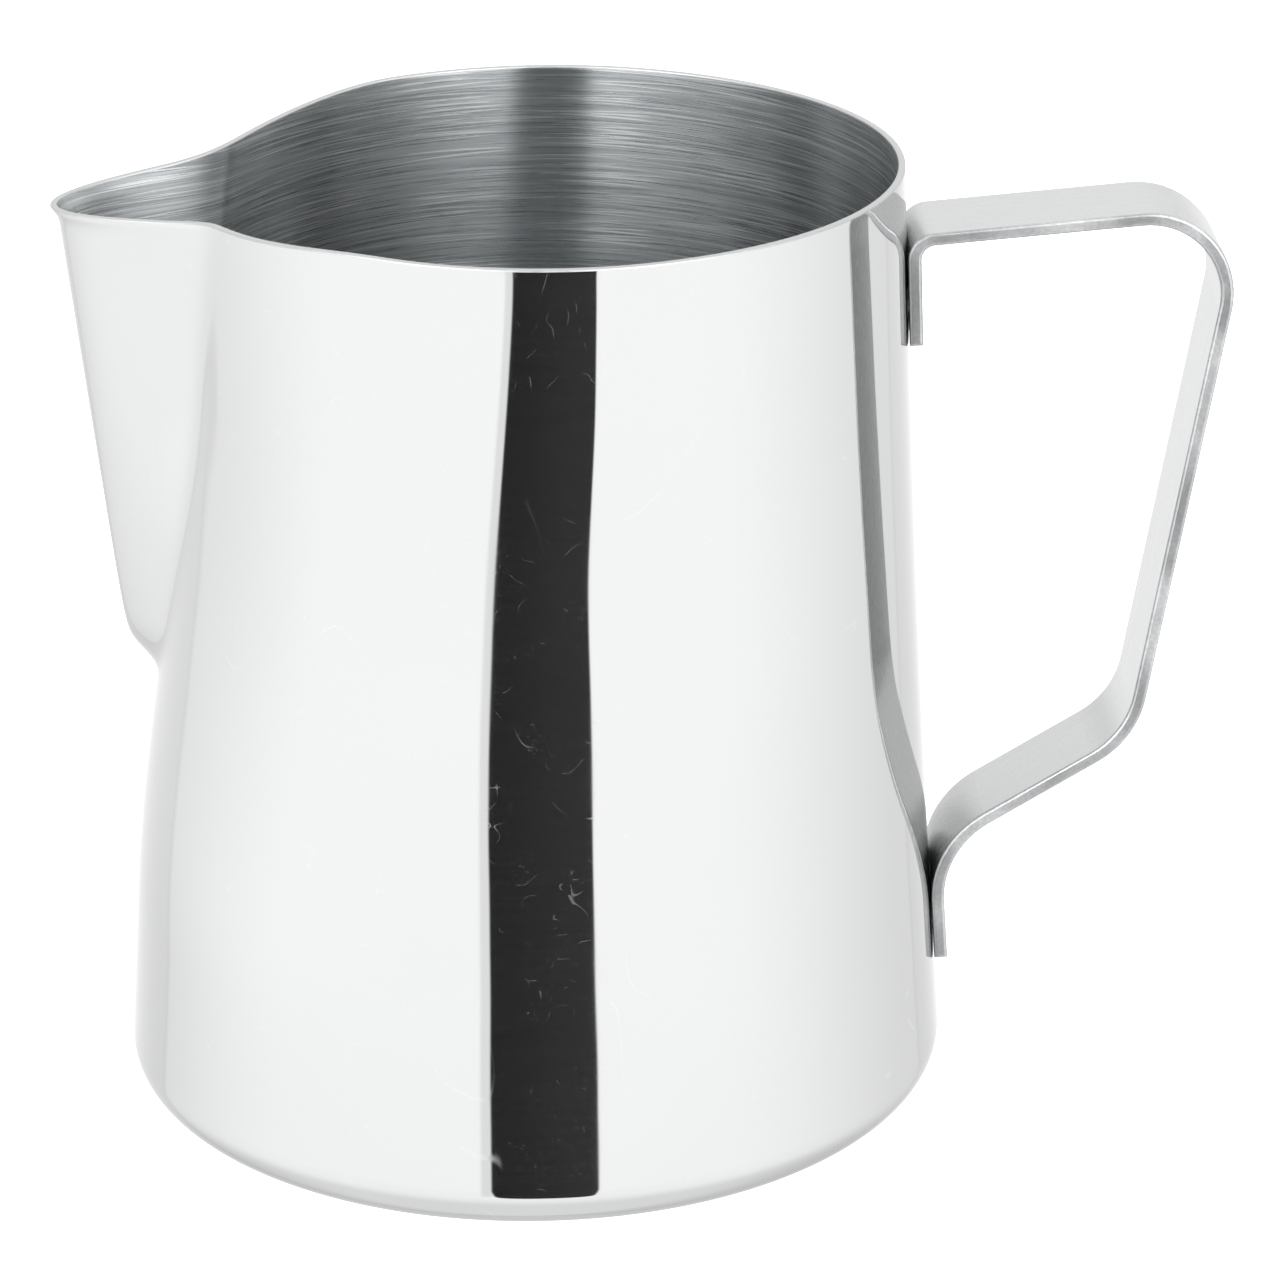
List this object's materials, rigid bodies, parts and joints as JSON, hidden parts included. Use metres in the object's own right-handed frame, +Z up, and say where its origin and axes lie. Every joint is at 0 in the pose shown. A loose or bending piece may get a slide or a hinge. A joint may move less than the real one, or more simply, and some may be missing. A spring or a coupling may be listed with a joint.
{
  "type": "milk frothing pitcher",
  "caption": "Tapered polished steel pitcher with a pressed pouring spout and an open handle bent from flat strip and spot-welded to the wall.",
  "frame": {"origin": "centre of the round base, on the surface the pitcher stands on", "axes": "+X from the pitcher's axis towards the handle, -X towards the spout, +Z up, XZ is the plane of symmetry"},
  "size_m": [0.1306, 0.0946, 0.108],
  "materials": {
    "polished_steel": "stainless sheet, mirror-polished outside and fine-brushed inside",
    "satin_strip": "stainless strip, fine satin faces with tumbled edges",
    "weld_steel": "fused stainless weld nugget, dull"
  },
  "bodies": {
    "root": {"pitcher_body": "polished_steel", "handle_strip": "satin_strip", "weld_upper_left": "weld_steel", "weld_upper_right": "weld_steel", "weld_lower_left": "weld_steel", "weld_lower_right": "weld_steel"}
  },
  "joints": []
}
